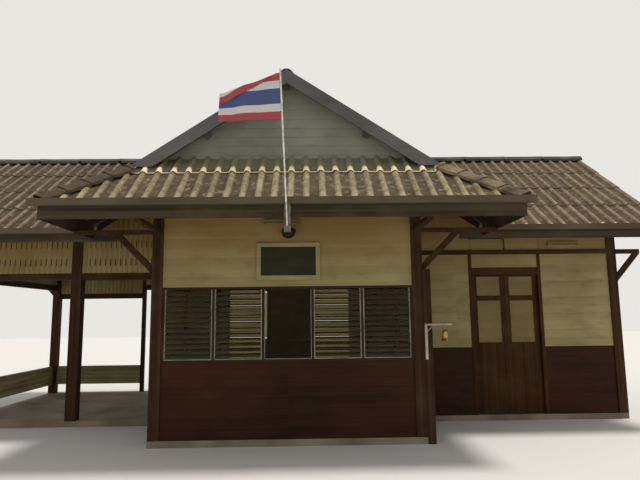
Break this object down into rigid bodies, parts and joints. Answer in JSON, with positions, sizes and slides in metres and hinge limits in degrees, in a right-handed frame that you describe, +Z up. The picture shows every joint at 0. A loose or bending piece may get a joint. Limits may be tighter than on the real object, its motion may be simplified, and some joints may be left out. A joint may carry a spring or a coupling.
{
  "type": "timber railway station building",
  "caption": "single-storey timber railway station with a projecting signal bay, crossing tiled roofs, louvre windows, double door, open waiting hall, flagpole and platform bell",
  "frame": {"origin": "on the ground, on the underside of the floor slab, straight under the crossing of the two ridges", "axes": "+X along the platform to the viewer's right, +Y away from the platform, +Z up"},
  "size_m": [13.42, 8.079, 5.835],
  "materials": {
    "concrete": "cast concrete floor, trowelled",
    "dark_timber": "sawn hardwood, dark brown stain",
    "dado_boards": "lapped boards, dark red-brown paint",
    "cream_boards": "lapped boards, cream paint",
    "door_timber": "planed hardwood, dark brown stain",
    "cement_tile": "weathered fibre-cement sheet, lichen on the ribs",
    "cement_cap": "weathered fibre-cement capping bedded in mortar",
    "gutter_metal": "grey painted sheet steel",
    "window_aluminium": "natural anodised aluminium",
    "louvre_glass": "tinted sheet glass",
    "board_paint": "dark green-black enamel",
    "galvanised": "galvanised steel tube",
    "flag_cloth": "woven polyester flag in five stripes",
    "white_iron": "white paint on flat iron",
    "bell_brass": "cast brass, worn bright",
    "lamp_metal": "dark enamelled steel",
    "tube_enamel": "white enamelled steel with a glass tube"
  },
  "bodies": {
    "root": {"bay_barge_boards": "dark_timber", "bay_clear_pane": "louvre_glass", "bay_dado": "dado_boards", "bay_gable_walls": "cream_boards", "bay_louvres": "louvre_glass", "bay_posts": "dark_timber", "bay_roof_left": "cement_tile", "bay_roof_right": "cement_tile", "bay_upper_walls": "cream_boards", "bay_window_frame": "window_aluminium", "bell_bracket": "white_iron", "bell_post": "dark_timber", "canopy_fascia": "dark_timber", "canopy_gutter": "gutter_metal", "canopy_lamp": "lamp_metal", "canopy_outriggers": "dark_timber", "canopy_rafter_ends": "dark_timber", "canopy_skirt_roof": "cement_tile", "door_frame": "door_timber", "eaves_boards": "dark_timber", "end_barge_boards": "dark_timber", "end_outriggers": "dark_timber", "end_upper": "cream_boards", "flag": "flag_cloth", "flagpole": "galvanised", "floor_slab": "concrete", "front_upper": "cream_boards", "hall_frieze_end": "cream_boards", "hall_friezes": "cream_boards", "hall_lintels": "dark_timber", "hall_parapets": "cream_boards", "hall_posts": "dark_timber", "hall_wall": "cream_boards", "hip_caps": "cement_cap", "knee_braces": "dark_timber", "main_dado": "dado_boards", "main_gutters": "gutter_metal", "main_posts": "dark_timber", "main_rafter_ends": "dark_timber", "main_roof_front_left": "cement_tile", "main_roof_front_right": "cement_tile", "main_roof_rear": "cement_tile", "name_board": "board_paint", "name_board_frame": "cream_boards", "over_door_panel": "cream_boards", "purlin_ends": "dark_timber", "rear_louvres": "louvre_glass", "rear_upper": "cream_boards", "rear_window_frames": "window_aluminium", "ridge_caps": "cement_cap", "tube_lights": "tube_enamel", "wall_rail": "dark_timber"},
    "door_left": {"door_leaf_left": "door_timber", "door_panes_left": "cream_boards"},
    "door_right": {"door_leaf_right": "door_timber", "door_panes_right": "cream_boards"},
    "bell": {"bell": "bell_brass"}
  },
  "joints": [
    {"name": "door_left_hinge", "type": "hinge", "parent": "root", "child": "door_left", "pos_m": [3.421, -1.9015, 1.4], "axis": [0, 0, 1], "range_deg": [0, 100]},
    {"name": "door_right_hinge", "type": "hinge", "parent": "root", "child": "door_right", "pos_m": [4.659, -1.9015, 1.4], "axis": [0, 0, -1], "range_deg": [0, 100]},
    {"name": "bell_swing", "type": "hinge", "parent": "root", "child": "bell", "pos_m": [2.42, -3.791, 1.694], "axis": [1, 0, 0], "range_deg": [-40, 40]}
  ]
}
